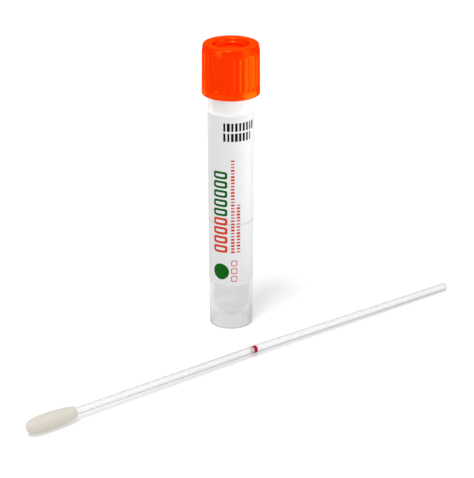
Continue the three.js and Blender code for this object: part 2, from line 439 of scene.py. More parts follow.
class RibPress(Recipe):
    """Presses a grip in between straight ribs, where the blank's attribute grip says so."""

    name: str = "rib_press"
    sockets: dict[str, str] = {
        "Axis": "NodeSocketVector",
        "Ribs": "NodeSocketFloat",
        "Phase": "NodeSocketFloat",
        "Depth": "NodeSocketFloat",
    }
    groove_floor: float = -0.55  # of the cosine that goes once round for each rib
    groove_edge: float = 0.6

    def lay_out(self, sheet: NodeSheet, given: bpy.types.NodeOutputs) -> bpy.types.NodeSocket:
        """Moves each point of the grip towards the axis by its share of the depth.

        Args:
            sheet: Where the nodes go.
            given: The tree's named inputs.

        Returns:
            The socket that holds the geometry.
        """
        place = sheet.add("GeometryNodeInputPosition").outputs[0]
        out = sheet.from_axis(place, given["Axis"])
        sides = sheet.add("ShaderNodeSeparateXYZ", {0: out}).outputs
        angle = sheet.maths("SUBTRACT", sheet.maths("ARCTAN2", sides["Y"], sides["X"]), given["Phase"])
        wave = sheet.maths("COSINE", sheet.maths("MULTIPLY", angle, given["Ribs"]))
        groove = sheet.eased(wave, self.groove_floor, self.groove_edge, 1.0, 0.0)
        named = sheet.add("GeometryNodeInputNamedAttribute", {"Name": "grip"}, data_type="FLOAT")
        share = sheet.maths("MULTIPLY", groove, named.outputs[0])
        depth = sheet.maths("MULTIPLY", share, given["Depth"])
        inwards = sheet.maths("MULTIPLY", depth, -1.0)
        offset = sheet.scaled(sheet.vector_maths("NORMALIZE", out), inwards)
        pressed = {"Geometry": given["Geometry"], "Offset": offset}
        return sheet.add("GeometryNodeSetPosition", pressed).outputs[0]


class StampRow(Recipe):
    """Sets a flat stamp down in a straight row along X, each one cut to a length of its own."""

    name: str = "stamp_row"
    sockets: dict[str, str] = {
        "Stamp": "NodeSocketObject",
        "Count": "NodeSocketInt",
        "Pitch": "NodeSocketVector",
        "Shortest": "NodeSocketFloat",
        "Longest": "NodeSocketFloat",
        "Seed": "NodeSocketInt",
    }

    def lay_out(self, sheet: NodeSheet, given: bpy.types.NodeOutputs) -> bpy.types.NodeSocket:
        """Instances the stamp on the points of a line.

        Args:
            sheet: Where the nodes go.
            given: The tree's named inputs.

        Returns:
            The socket that holds the geometry.
        """
        line = {"Count": given["Count"], "Offset": given["Pitch"]}
        row = sheet.add("GeometryNodeMeshLine", line).outputs[0]
        stamp = sheet.add("GeometryNodeObjectInfo", {"Object": given["Stamp"]}).outputs["Geometry"]
        length = sheet.random("FLOAT", given["Shortest"], given["Longest"], given["Seed"])
        size = sheet.add("ShaderNodeCombineXYZ", {"X": length, "Y": 1.0, "Z": 1.0}).outputs[0]
        stamped = {"Points": row, "Instance": stamp, "Scale": size}
        return sheet.add("GeometryNodeInstanceOnPoints", stamped).outputs[0]


class PrintWrap(Recipe):
    """Lays flat print on the drafted tube: X of the print runs round the tube and Z runs up it."""

    name: str = "print_wrap"
    sockets: dict[str, str] = {
        "Axis": "NodeSocketVector",
        "Facing": "NodeSocketFloat",
        "Foot Radius": "NodeSocketFloat",
        "Draft": "NodeSocketFloat",
        "Place": "NodeSocketVector",
        "Turn": "NodeSocketFloat",
    }

    def lay_out(self, sheet: NodeSheet, given: bpy.types.NodeOutputs) -> bpy.types.NodeSocket:
        """Turns the print in its plane, sets it in its place and bends it round the axis.

        Args:
            sheet: Where the nodes go.
            given: The tree's named inputs.

        Returns:
            The socket that holds the geometry.
        """
        place = sheet.add("GeometryNodeInputPosition").outputs[0]
        about = {"Vector": place, "Angle": given["Turn"]}
        level = sheet.add("ShaderNodeVectorRotate", about, rotation_type="Y_AXIS").outputs[0]
        print_place = sheet.vector_maths("ADD", level, given["Place"])
        sides = sheet.add("ShaderNodeSeparateXYZ", {0: print_place}).outputs
        wall = sheet.maths("ADD", given["Foot Radius"], sheet.maths("MULTIPLY", sides["Z"], given["Draft"]))
        angle = sheet.maths("ADD", given["Facing"], sheet.maths("DIVIDE", sides["X"], wall))
        radius = sheet.maths("SUBTRACT", wall, sides["Y"])
        east = sheet.maths("MULTIPLY", radius, sheet.maths("COSINE", angle))
        north = sheet.maths("MULTIPLY", radius, sheet.maths("SINE", angle))
        bent = sheet.add("ShaderNodeCombineXYZ", {"X": east, "Y": north, "Z": sides["Z"]}).outputs[0]
        laid = {"Geometry": given["Geometry"], "Position": sheet.vector_maths("ADD", bent, given["Axis"])}
        return sheet.add("GeometryNodeSetPosition", laid).outputs[0]


class FlockSowing(Recipe):
    """Sows short upright fibres over a surface, as flocking does."""

    name: str = "flock_sowing"
    sockets: dict[str, str] = {
        "Density": "NodeSocketFloat",
        "Length": "NodeSocketFloat",
        "Thickness": "NodeSocketFloat",
        "Lean": "NodeSocketFloat",
        "Seed": "NodeSocketInt",
    }
    shortest: float = 0.72  # of the full length

    def lay_out(self, sheet: NodeSheet, given: bpy.types.NodeOutputs) -> bpy.types.NodeSocket:
        """Scatters points on the faces and stands a slim three-sided fibre on each.

        Args:
            sheet: Where the nodes go.
            given: The tree's named inputs.

        Returns:
            The socket that holds the geometry.
        """
        scatter = {"Mesh": given["Geometry"], "Density": given["Density"], "Seed": given["Seed"]}
        points = sheet.add("GeometryNodeDistributePointsOnFaces", scatter).outputs
        blade = {
            "Vertices": 3,
            "Radius Top": 0.0,
            "Radius Bottom": given["Thickness"],
            "Depth": given["Length"],
        }
        fibre = sheet.add("GeometryNodeMeshCone", blade).outputs["Mesh"]
        spread = sheet.random("FLOAT_VECTOR", (-1, -1, -1), (1, 1, 1), given["Seed"])
        way = sheet.vector_maths("ADD", points["Normal"], sheet.scaled(spread, given["Lean"]))
        turn = sheet.add("FunctionNodeAlignRotationToVector", {"Vector": way}, axis="Z").outputs[0]
        height = sheet.random("FLOAT", self.shortest, 1.0, given["Seed"])
        size = sheet.add("ShaderNodeCombineXYZ", {"X": 1.0, "Y": 1.0, "Z": height}).outputs[0]
        sown = {"Points": points["Points"], "Instance": fibre, "Rotation": turn, "Scale": size}
        return sheet.add("GeometryNodeInstanceOnPoints", sown).outputs[0]


def baked(piece: bpy.types.Object) -> bpy.types.Object:
    """Turns what a piece's modifiers make into its own plain mesh, and removes them.

    Args:
        piece: The object with its modifiers.

    Returns:
        The same object.
    """
    depsgraph = bpy.context.evaluated_depsgraph_get()
    made = bpy.data.meshes.new_from_object(piece.evaluated_get(depsgraph), depsgraph=depsgraph)
    piece.modifiers.clear()
    piece.data = made
    return piece


# ---- Finishes ----------------------------------------------------------------------------------------


def toned(colour: Colour, share: float) -> Colour:
    """A colour made darker or lighter by a share, and solid."""
    return tuple(part * share for part in colour[:3]) + (1.0,)


@dataclass(frozen=True)
class Finish:
    """A moulded surface: its colour drifts a little, and it has the faint grain of its mould."""

    name: str
    colour: Colour
    roughness: float
    shade: float = 0.94  # the darker of its two tones, as a share of the colour
    drift: float = 3.0 * MM  # size of a patch of one tone
    drift_detail: float = 2.0
    patch_edge: tuple[float, float] = (0.3, 0.7)  # noise over which one tone runs into the other
    grain: float = 0.25 * MM  # size of the grain
    grain_detail: float = 3.0
    relief: float = 0.004 * MM
    grain_strength: float = 0.3
    gloss: Colour | None = None  # of a shine on top that takes on the pigment's hue
    sockets: Values = field(default_factory=dict)

    def material(self) -> bpy.types.Material:
        """Makes the finish a node material on Object coordinates.

        Returns:
            The material.
        """
        made = bpy.data.materials.new(self.name)
        sheet = NodeSheet.cleared(made)
        place = sheet.place()
        tone, normal = self.tone(sheet, place), self.bump(sheet, place)
        values = {"Base Color": tone, "Roughness": self.roughness, "Normal": normal}
        surface = self.surface(sheet, {**values, **self.local(sheet), **self.sockets})
        sheet.add("ShaderNodeOutputMaterial", {"Surface": surface})
        return made

    def local(self, sheet: NodeSheet) -> Values:
        """The shader's other sockets that vary over the surface."""
        return {}

    def surface(self, sheet: NodeSheet, values: Values) -> bpy.types.NodeSocket:
        """The plain shader, with the shine on top where there is one.

        Args:
            sheet: Where the nodes go.
            values: The plain shader's inputs.

        Returns:
            The shader's output.
        """
        body = sheet.add("ShaderNodeBsdfPrincipled", values).outputs[0]
        if self.gloss is None:
            return body
        coat = {"Color": self.shine(sheet), "Roughness": self.roughness, "Normal": values["Normal"]}
        gloss = sheet.add("ShaderNodeBsdfAnisotropic", coat).outputs[0]
        return sheet.add("ShaderNodeAddShader", {0: body, 1: gloss}).outputs[0]

    def shine(self, sheet: NodeSheet) -> Colour | bpy.types.NodeSocket:
        """The colour of the shine on top."""
        return self.gloss

    def tone(self, sheet: NodeSheet, place: bpy.types.NodeSocket) -> bpy.types.NodeSocket:
        """The colour, which drifts between its two tones over the surface.

        Args:
            sheet: Where the nodes go.
            place: Where the shaded point is on its object.

        Returns:
            The socket that holds the colour.
        """
        patches = {"Vector": place, "Scale": 1 / self.drift, "Detail": self.drift_detail}
        noise = sheet.add("ShaderNodeTexNoise", patches).outputs[0]
        dark = toned(self.colour, self.shade)
        return sheet.mixed(sheet.eased(noise, *self.patch_edge), dark, self.colour)

    def bump(self, sheet: NodeSheet, place: bpy.types.NodeSocket) -> bpy.types.NodeSocket:
        """The mould's grain as a bumped normal.

        Args:
            sheet: Where the nodes go.
            place: Where the shaded point is on its object.

        Returns:
            The socket that holds the normal.
        """
        grain = {"Vector": place, "Scale": 1 / self.grain, "Detail": self.grain_detail}
        noise = sheet.add("ShaderNodeTexNoise", grain).outputs[0]
        height = {"Height": noise, "Distance": self.relief, "Strength": self.grain_strength}
        return sheet.add("ShaderNodeBump", height).outputs[0]


@dataclass(frozen=True, kw_only=True)
class BandedPlastic(Finish):
    """Plastic with a polished band at its foot and a duller surface above it."""

    band_top: float
    band_fade: float = 0.4 * MM
    band_shine: float = 1.45  # as a share of the shine above the band

    def shine(self, sheet: NodeSheet) -> bpy.types.NodeSocket:
        """The colour of the shine, which is stronger on the band.

        Args:
            sheet: Where the nodes go.

        Returns:
            The socket that holds the colour.
        """
        height = sheet.height(sheet.place())
        above = sheet.eased(height, self.band_top - self.band_fade, self.band_top)
        return sheet.mixed(above, toned(self.gloss, self.band_shine), self.gloss)


@dataclass(frozen=True, kw_only=True)
class VeiledFinish(Finish):
    """A see-through finish: a veil of scattered light that is denser where it is seen edge-on."""

    veil: float  # cover of one face seen straight on
    edge_veil: float
    edge: float  # how far the denser edge reaches in, as Layer Weight's blend

    def local(self, sheet: NodeSheet) -> Values:
        """The cover, as the shader's alpha."""
        return {"Alpha": self.cover(sheet, self.veil)}

    def cover(self, sheet: NodeSheet, straight: float | bpy.types.NodeSocket) -> bpy.types.NodeSocket:
        """The veil's cover from its cover straight on."""
        return sheet.eased(sheet.edge_on(self.edge), 0.0, 1.0, straight, self.edge_veil)


@dataclass(frozen=True, kw_only=True)
class WettedPlastic(VeiledFinish):
    """Natural plastic that looks clearer up to the height that liquid wets it to.

    Its conical floor has a painted glow, for the light that it gathers, so that it shows a little paler
    than the walls round it.
    """

    level: float
    axis: tuple[float, ...]
    cone_top: float
    cone_radius: float
    wet_veil: float = 0.3
    wet_painted_shade: float = 0.9  # of the colour: painted shade below the liquid's level
    creep: float = 1.0 * MM  # over which the wall dries
    cone_veil: float = 0.3
    # painted glow of the conical floor, as an emission strength
    cone_painted_glow: float = 0.3
    skirt_painted_shade: float = 0.62  # of the colour: painted shade on the skirt

    def tone(self, sheet: NodeSheet, place: bpy.types.NodeSocket) -> bpy.types.NodeSocket:
        """The colour, with painted shade below the liquid's level and on the skirt.

        Args:
            sheet: Where the nodes go.
            place: Where the shaded point is on its object.

        Returns:
            The socket that holds the colour.
        """
        plain = super().tone(sheet, place)
        height = sheet.height(place)
        dry = sheet.eased(height, self.level, self.level + self.creep)
        # painted shade on the wall below the liquid's level
        wall = sheet.mixed(dry, toned(self.colour, self.wet_painted_shade), plain)
        skirt = sheet.maths("SUBTRACT", self.low(sheet, height), self.cone(sheet, place))
        # painted shade on the skirt
        return sheet.mixed(skirt, wall, toned(self.colour, self.skirt_painted_shade))

    def low(self, sheet: NodeSheet, height: bpy.types.NodeSocket) -> bpy.types.NodeSocket:
        """1 below the top of the cone, and 0 above it."""
        start, end = self.cone_top - self.creep / 2, self.cone_top + self.creep
        return sheet.eased(height, start, end, 1.0, 0.0)

    def cone(self, sheet: NodeSheet, place: bpy.types.NodeSocket) -> bpy.types.NodeSocket:
        """Marks the conical floor.

        Args:
            sheet: Where the nodes go.
            place: Where the shaded point is on its object.

        Returns:
            A socket that holds 1 on the floor and 0 elsewhere.
        """
        radius = sheet.number("LENGTH", sheet.from_axis(place, self.axis))
        height = sheet.height(place)
        within = sheet.eased(radius, self.cone_radius, self.cone_radius + self.creep / 4, 1.0, 0.0)
        return sheet.maths("MULTIPLY", within, self.low(sheet, height))

    def local(self, sheet: NodeSheet) -> Values:
        """The cover by the height, and the cone's painted glow.

        Args:
            sheet: Where the nodes go.

        Returns:
            The shader's alpha and its painted glow.
        """
        place = sheet.place()
        height = sheet.height(place)
        cone = self.cone(sheet, place)
        wall = sheet.eased(height, self.level, self.level + self.creep, self.wet_veil, self.veil)
        straight = sheet.eased(cone, 0.0, 1.0, wall, self.cone_veil)
        # painted glow on the conical floor
        glow = sheet.maths("MULTIPLY", cone, self.cone_painted_glow)
        return {"Alpha": self.cover(sheet, straight), "Emission Strength": glow}


@dataclass(frozen=True, kw_only=True)
class EdgeShaded(Finish):
    """A surface with painted shade towards its outline, where a clear rod or a thick pile looks darker."""

    painted_edge_shade: float  # of the colour: painted shade at the outline
    edge_start: float  # of the blend, which is 0 straight on and 1 edge-on
    edge_end: float
    edge_blend: float = 0.5

    def tone(self, sheet: NodeSheet, place: bpy.types.NodeSocket) -> bpy.types.NodeSocket:
        """The colour, with painted shade where the surface is seen edge-on.

        Args:
            sheet: Where the nodes go.
            place: Where the shaded point is on its object.

        Returns:
            The socket that holds the colour.
        """
        plain = super().tone(sheet, place)
        # painted shade towards the outline
        edge = sheet.eased(sheet.edge_on(self.edge_blend), self.edge_start, self.edge_end)
        return sheet.mixed(edge, plain, toned(self.colour, self.painted_edge_shade))


@dataclass(frozen=True, kw_only=True)
class LabelFilm(Finish):
    """White film with a painted grey line of shade where the medium's surface shows faintly through it."""

    axis: tuple[float, ...]  # of the tube that the film is wrapped round
    line_height: float
    line_width: float = 0.5 * MM
    # painted shade: the grey line for the medium's surface seen through the film
    painted_line_colour: Colour = (0.5, 0.5, 0.55, 1.0)
    line_strength: float = 0.5
    inner_turn: float = -0.5  # a face whose normal runs out by less is on the tube's side
    painted_inner_glow: float = 0.8  # painted glow of the side on the tube, for the light that comes through the film

    def local(self, sheet: NodeSheet) -> Values:
        """Paints a glow on the side that lies on the tube, for the light that comes through the film.

        Args:
            sheet: Where the nodes go.

        Returns:
            The shader's painted glow.
        """
        out = sheet.vector_maths("NORMALIZE", sheet.from_axis(sheet.place(), self.axis))
        normal = sheet.add("ShaderNodeNewGeometry").outputs["True Normal"]
        inside = sheet.maths("LESS_THAN", sheet.number("DOT_PRODUCT", out, normal), self.inner_turn)
        # painted glow on the side that lies on the tube
        return {"Emission Strength": sheet.maths("MULTIPLY", inside, self.painted_inner_glow)}

    def tone(self, sheet: NodeSheet, place: bpy.types.NodeSocket) -> bpy.types.NodeSocket:
        """The film's colour, with a painted grey line of shade at one height.

        Args:
            sheet: Where the nodes go.
            place: Where the shaded point is on its object.

        Returns:
            The socket that holds the colour.
        """
        plain = super().tone(sheet, place)
        away = sheet.maths("ABSOLUTE", sheet.maths("SUBTRACT", sheet.height(place), self.line_height))
        # painted grey line of shade at the medium's level
        line = sheet.eased(away, 0.0, self.line_width, self.line_strength, 0.0)
        return sheet.mixed(line, plain, self.painted_line_colour)


class Ink(Enum):
    """The inks that the label and the swab are printed with."""

    GREEN = (0.001, 0.125, 0.003, 1.0)
    ORANGE_RED = (0.72, 0.05, 0.01, 1.0)
    BLACK = (0.008, 0.008, 0.009, 1.0)
    CRIMSON = (0.5, 0.004, 0.035, 1.0)

    def finish(self) -> Finish:
        """The ink as a thin, half-matt film with slightly uneven cover.

        Returns:
            The finish.
        """
        return Finish(
            f"{self.name.lower()}_ink",
            self.value,
            roughness=0.5,
            shade=0.8,
            drift=0.6 * MM,
            grain=0.1 * MM,
            sockets={"Specular IOR Level": 0.1},
        )


PALE_ELASTOMER = Finish("pale_elastomer", (0.78, 0.77, 0.73, 1.0), roughness=0.6)
CLEAR_MEDIUM = VeiledFinish(
    "clear_medium",
    (0.74, 0.765, 0.73, 1.0),
    roughness=0.05,
    shade=0.99,
    relief=0.0,
    veil=0.16,
    edge_veil=0.2,
    edge=0.4,
    sockets={"IOR": 1.335},
)
FROSTED_SHAFT = EdgeShaded(
    "frosted_polystyrene",
    (0.98, 0.985, 0.995, 1.0),
    roughness=0.18,
    shade=0.985,
    drift=5.0 * MM,
    grain=0.5 * MM,
    # painted shade along the rod's outline
    painted_edge_shade=0.55,
    edge_start=0.12,
    edge_end=0.6,
    sockets={"IOR": 1.5, "Alpha": 0.48},
)
CREAM_FLOCK = EdgeShaded(
    "cream_flock",
    (0.57, 0.545, 0.5, 1.0),
    roughness=0.95,
    drift=0.5 * MM,
    grain=0.12 * MM,
    # painted shade along the tip's outline
    painted_edge_shade=0.6,
    edge_start=0.5,
    edge_end=0.9,
    sockets={
        "Specular IOR Level": 0.1,
        "Emission Color": (1.0, 0.955, 0.87, 1.0),  # painted glow, for the light that comes through the pile
        "Emission Strength": 0.24,
    },
)
CREAM_FIBRE = Finish(
    "cream_fibre",
    CREAM_FLOCK.colour,
    roughness=CREAM_FLOCK.roughness,
    drift=CREAM_FLOCK.drift,
    grain=CREAM_FLOCK.grain,
    # with the same painted glow as the flock
    sockets=CREAM_FLOCK.sockets,
)


def add_piece(name: str, mesh: bpy.types.Mesh) -> bpy.types.Object:
    """Puts a mesh into the scene as a new object at the origin.

    Args:
        name: The piece's name, which its mesh takes too.
        mesh: Its mesh.

    Returns:
        The new object.
    """
    mesh.name = name
    piece = bpy.data.objects.new(name, mesh)
    bpy.context.scene.collection.objects.link(piece)
    return piece


def dressed(piece: bpy.types.Object, finish: Finish, body: str, slot: str) -> bpy.types.Object:
    """Finishes a piece and hands it to the frame.

    Args:
        piece: The object, which is a plain mesh by now.
        finish: Its material.
        body: The body that it rides on.
        slot: The record's material slot for it, which is not used.

    Returns:
        The same object.
    """
    piece.data.materials.clear()
    piece.data.materials.append(bpy.data.materials.get(finish.name) or finish.material())
    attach(piece, body)
    triangles = sum(len(face.vertices) - 2 for face in piece.data.polygons)
    log.info("%s: %d triangles on %s", piece.name, triangles, body)
    return piece


# ---- Layout ------------------------------------------------------------------------------------------


@dataclass(frozen=True)
class Layout:
    """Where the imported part's main places are."""

    axis: Vector  # of the tube, at the floor
    rim: float
    cap_foot: float
    cap_top: float
    seal_foot: float
    seal_top: float
    label_foot: float
    label_top: float
    medium_top: float
    tip: float  # of the swab, along X
    handle: float
    facing: float  # angle round the tube's axis of the side that the print is on

    @classmethod
    def read(cls) -> "Layout":
        """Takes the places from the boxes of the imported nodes.

        Returns:
            The layout.
        """
        cap_low, cap_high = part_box("screw_cap")
        seal_low, seal_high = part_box("sealing_ring")
        label_low, label_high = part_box("label")
        centre = (cap_low + cap_high) / 2
        return cls(
            axis=Vector((centre.x, centre.y, 0)),
            rim=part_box("tube")[1].z,
            cap_foot=cap_low.z,
            cap_top=cap_high.z,
            seal_foot=seal_low.z,
            seal_top=seal_high.z,
            label_foot=label_low.z,
            label_top=label_high.z,
            medium_top=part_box("transport_medium")[1].z,
            tip=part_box("flocked_tip")[0].x,
            handle=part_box("swab_shaft")[1].x,
            facing=math.radians(Studio.azimuth - 90),
        )

    def on_axis(self, spots: np.ndarray) -> np.ndarray:
        """Sets vertex rows that were made round the origin round the tube's axis."""
        return spots + np.array(self.axis)


# ---- Tube --------------------------------------------------------------------------------------------


@dataclass
class Tube:
    """The transport tube: a drafted barrel on a skirt, with a conical floor and a threaded neck."""

    layout: Layout
    bore_radius: float = 5.1 * MM  # at the rim
    bore_draft: float = 0.2 * MM
    neck_wall: float = 1.0 * MM
    body_wall: float = 1.23 * MM  # at the shoulder
    foot_wall: float = 1.08 * MM  # at the floor
    shoulder_cover: float = 1.4 * MM  # how far the shoulder stands above the cap's foot
    shoulder_rise: float = 0.6 * MM
    shoulder_round: float = 0.2 * MM
    rim_round: float = 0.25 * MM
    cone_height: float = 3.8 * MM
    cone_wall: float = 0.9 * MM
    tip_radius: float = 1.0 * MM
    tip_clearance: float = 0.5 * MM
    skirt_wall: float = 1.0 * MM
    foot_round: float = 0.3 * MM
    thread_depth: float = 0.5 * MM
    thread_top: float = 1.9 * MM  # rim down to the middle of the thread's upper end
    thread_foot: float = 1.1 * MM  # shoulder up to the middle of its lower end
    thread_pitch: float = 0.16 * MM  # height of the mesh's rows on the neck
    sides: int = 128

    @property
    def neck_radius(self) -> float:
        """Radius of the neck's wall between its threads."""
        return self.bore_radius + self.neck_wall

    @property
    def shoulder_radius(self) -> float:
        """Outside radius at the top of the barrel."""
        return self.bore_radius + self.body_wall

    @property
    def bore_foot(self) -> float:
        """Bore radius where the cone begins."""
        return self.bore_radius - self.bore_draft

    @property
    def foot_radius(self) -> float:
        """Outside radius at the floor."""
        return self.bore_foot + self.foot_wall

    @property
    def shoulder(self) -> float:
        """Height of the shoulder's lower edge."""
        return self.layout.cap_foot + self.shoulder_cover

    @property
    def neck(self) -> float:
        """Height where the neck begins."""
        return self.shoulder + self.shoulder_rise

    @property
    def cone_tip(self) -> float:
        """Height of the cone's inside tip."""
        return self.tip_clearance + self.cone_wall

    @property
    def cone_top(self) -> float:
        """Height where the cone runs into the bore."""
        return self.cone_tip + self.cone_height

    @property
    def draft(self) -> float:
        """How much the outside radius grows for each unit of height."""
        return (self.shoulder_radius - self.foot_radius) / self.shoulder

    def bore_at(self, height: float) -> float:
        """Bore radius at a height above the cone."""
        share = (height - self.cone_top) / (self.layout.rim - self.cone_top)
        return self.bore_foot + (self.bore_radius - self.bore_foot) * share

    def thread(self) -> Helix:
        """The neck's thread."""
        start = self.neck + self.thread_foot
        return Helix(start=start, low=start, high=self.layout.rim - self.thread_top)

    def shape(self) -> np.ndarray:
        """The wall's outline, from the underside of the cone out and up to the rim and back in.

        Returns:
            Its (r, z) rows.
        """
        slope = self.cone_height / (self.bore_foot - self.tip_radius)
        drop = self.cone_wall * math.hypot(1, slope)
        skirt_bore = self.foot_radius - self.skirt_wall
        roof = self.cone_tip - drop + (skirt_bore - self.tip_radius) * slope
        walls = outline(
            (0, self.tip_clearance),
            (self.tip_radius, self.tip_clearance, self.tip_radius / 2),
            (skirt_bore, roof, self.foot_round),
            (skirt_bore, 0, self.foot_round),
            (self.foot_radius, 0, self.foot_round),
            (self.shoulder_radius, self.shoulder, self.shoulder_round),
            (self.neck_radius, self.neck, self.shoulder_round),
            (self.neck_radius, self.layout.rim, self.rim_round),
            (self.bore_radius, self.layout.rim, self.rim_round),
            (self.bore_foot, self.cone_top, self.tip_radius),
            (self.tip_radius, self.cone_tip, self.tip_radius / 2),
            (0, self.cone_tip),
        )
        return refined(walls, self.thread_pitch, self.neck, self.layout.rim)

    def build(self) -> bpy.types.Object:
        """Builds and dresses the tube's wall.

        Returns:
            The wall, which stands for the tube's node.
        """
        thread = self.thread()

        def threaded(angle: np.ndarray, radius: np.ndarray, height: np.ndarray) -> np.ndarray:
            """Raises the thread on the outside of the neck."""
            outside = radius > self.neck_radius - self.neck_wall / 2
            return radius + outside * self.thread_depth * thread.rise(angle, height)

        finish = WettedPlastic(
            "natural_polypropylene",
            (0.97, 0.975, 0.965, 1.0),
            roughness=0.3,
            shade=0.97,
            drift=6.0 * MM,
            grain=0.6 * MM,
            veil=0.4,
            edge_veil=0.8,
            edge=0.2,
            level=self.layout.medium_top,
            axis=tuple(self.layout.axis),
            cone_top=self.cone_top,
            cone_radius=self.bore_foot,
            sockets={"IOR": 1.49},
        )
        mesh = moved(turned(self.shape(), self.sides, rule=threaded), self.layout.on_axis)
        piece = dressed(add_piece("tube_wall", mesh), finish, "root", "tube")
        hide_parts("tube")
        return piece


# ---- Screw cap and sealing ring ----------------------------------------------------------------------


@dataclass
class ScrewCap:
    """The ribbed screw cap, with its thread, its plug and the boss that catches the broken swab."""

    layout: Layout
    tube: Tube
    wall: float = 1.1 * MM  # at the plain band
    draft: float = 0.07 * MM  # less radius at the top of the ribs than at the band
    shoulder: float = 2.2 * MM  # height of the plain shoulder above the ribs
    shoulder_step: float = 0.3 * MM
    edge_round: float = 0.45 * MM
    foot_round: float = 0.3 * MM
    band: float = 1.9 * MM
    ribs: int = 28
    rib_shift: float = 1 / 8  # of a rib, round the axis
    rib_depth: float = 0.14 * MM
    rib_fade: float = 0.9 * MM
    sides_per_rib: int = 12
    row_pitch: float = 0.5 * MM
    rim: float = 2.6 * MM
    rim_round: float = 0.35 * MM
    recess_depth: float = 1.3 * MM
    recess_lean: float = 0.5 * MM
    recess_round: float = 0.7 * MM
    plug_length: float = 3.6 * MM
    plug_wall: float = 0.8 * MM
    plug_clearance: float = 0.2 * MM
    plug_round: float = 0.2 * MM
    catch_bore: float = 1.17 * MM
    catch_length: float = 5.7 * MM
    catch_wall: float = 0.85 * MM
    catch_flare: float = 0.5 * MM
    catch_lead_in: float = 1.0 * MM
    thread_clearance: float = 0.25 * MM
    thread_top: float = 4.0 * MM  # underside down to the middle of the thread's upper end
    thread_foot: float = 0.9 * MM  # the tube's shoulder up to the middle of its lower end
    thread_pitch: float = 0.26 * MM  # height of the mesh's rows on the bore

    @property
    def bore(self) -> float:
        """Radius of the bore between its threads."""
        return self.tube.neck_radius + self.tube.thread_depth + self.thread_clearance

    @property
    def radius(self) -> float:
        """Outside radius at the plain band."""
        return self.bore + self.wall

    @property
    def underside(self) -> float:
        """Height of the cap's underside, which the sealing ring lies against."""
        return self.layout.seal_top

    def outside(self) -> tuple[np.ndarray, np.ndarray]:
        """The outline of the cap's outside and top.

        Returns:
            Its (r, z) rows, and for each row the share of the ribs' depth that is pressed in.
        """
        top = self.layout.cap_top
        rib_top, rib_foot = top - self.shoulder, self.layout.cap_foot + self.band
        upper = self.radius - self.draft
        crown = upper - self.shoulder_step
        recess = crown - self.rim
        floor = top - self.recess_depth
        points = outline(
            (self.bore, self.layout.cap_foot, self.foot_round / 3),
            (self.radius, self.layout.cap_foot, self.foot_round),
            (self.radius, rib_foot, self.rib_fade / 2),
            (upper, rib_top, self.rib_fade / 2),
            (crown, top, self.edge_round),
            (recess, top, self.rim_round),
            (recess - self.recess_lean, floor, self.recess_round),
            (0, floor),
        )
        points = refined(points, self.row_pitch, rib_foot - self.rib_fade, rib_top + self.rib_fade)
        points = refined(points, self.rib_fade / 4, rib_foot - self.rib_fade, rib_foot + self.rib_fade)
        points = refined(points, self.rib_fade / 4, rib_top - self.rib_fade, rib_top + self.rib_fade)
        height = points[:, 1]
        share = smooth((height - rib_foot) / self.rib_fade) * smooth((rib_top - height) / self.rib_fade)
        return points, share * (points[:, 0] > self.bore)

    def inside(self) -> np.ndarray:
        """The outline of the cap's inside, from the axis out to its foot.

        Returns:
            Its (r, z) rows.
        """
        plug = self.tube.bore_radius - self.plug_clearance
        plug_bore = plug - self.plug_wall
        plug_foot = self.underside - self.plug_length
        catch = self.catch_bore + self.catch_wall
        catch_foot = self.underside - self.catch_length
        walls = outline(
            (0, self.underside),
            (self.catch_bore, self.underside, self.plug_round),
            (self.catch_bore, catch_foot + self.catch_lead_in, self.plug_round),
            (self.catch_bore + self.catch_flare, catch_foot),
            (catch, catch_foot, self.plug_round),
            (catch, self.underside, self.plug_round),
            (plug_bore, self.underside, self.plug_round),
            (plug_bore, plug_foot, self.plug_round),
            (plug, plug_foot, self.plug_round),
            (plug, self.underside, self.plug_round),
            (self.bore, self.underside, self.plug_round),
            (self.bore, self.layout.cap_foot, self.foot_round / 3),
            (self.radius, self.layout.cap_foot),
        )[:-1]
        return refined(walls, self.thread_pitch, self.layout.cap_foot, plug_foot + self.plug_length)

    def thread(self) -> Helix:
        """The bore's thread, which runs midway between the turns of the neck's thread.

        Returns:
            The thread.
        """
        neck = self.tube.thread()
        low = self.tube.neck + self.thread_foot
        return Helix(start=neck.start - neck.lead / 2, low=low, high=self.underside - self.thread_top)

    def build(self) -> bpy.types.Object:
        """Builds and dresses the cap.

        Returns:
            The cap, which stands for its node.
        """
        outside, share = self.outside()
        inside = self.inside()
        sides = self.ribs * self.sides_per_rib
        thread = self.thread()

        def threaded(angle: np.ndarray, radius: np.ndarray, height: np.ndarray) -> np.ndarray:
            """Raises the thread inwards on the bore."""
            bore = np.abs(radius - self.bore) < self.thread_clearance / 2
            return radius - bore * self.tube.thread_depth * thread.rise(angle, height)

        finish = BandedPlastic(
            "orange_polypropylene",
            (0.97, 0.0, 0.0, 1.0),
            roughness=0.26,
            shade=0.95,
            drift=4.0 * MM,
            grain=0.35 * MM,
            gloss=(0.1, 0.044, 0.001, 1.0),
            band_top=self.layout.cap_foot + self.band,
            sockets={"Specular IOR Level": 0.0},
        )
        # The inside's last point is the outside's first one.
        points = np.concatenate((inside, outside[1:]))
        grip = np.concatenate((np.zeros(len(inside)), share[1:]))
        mesh = moved(turned(points, sides, rule=threaded), self.layout.on_axis)
        piece = add_piece("cap_shell", mesh)
        self.mark_grip(piece.data, points[:, 1], grip)
        RibPress().apply(
            piece,
            Axis=tuple(self.layout.axis),
            Ribs=float(self.ribs),
            Phase=TAU / self.ribs * self.rib_shift,
            Depth=self.rib_depth,
            Finish=finish.material(),
        )
        dressed(baked(piece), finish, "cap", "cap")
        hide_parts("screw_cap")
        return piece

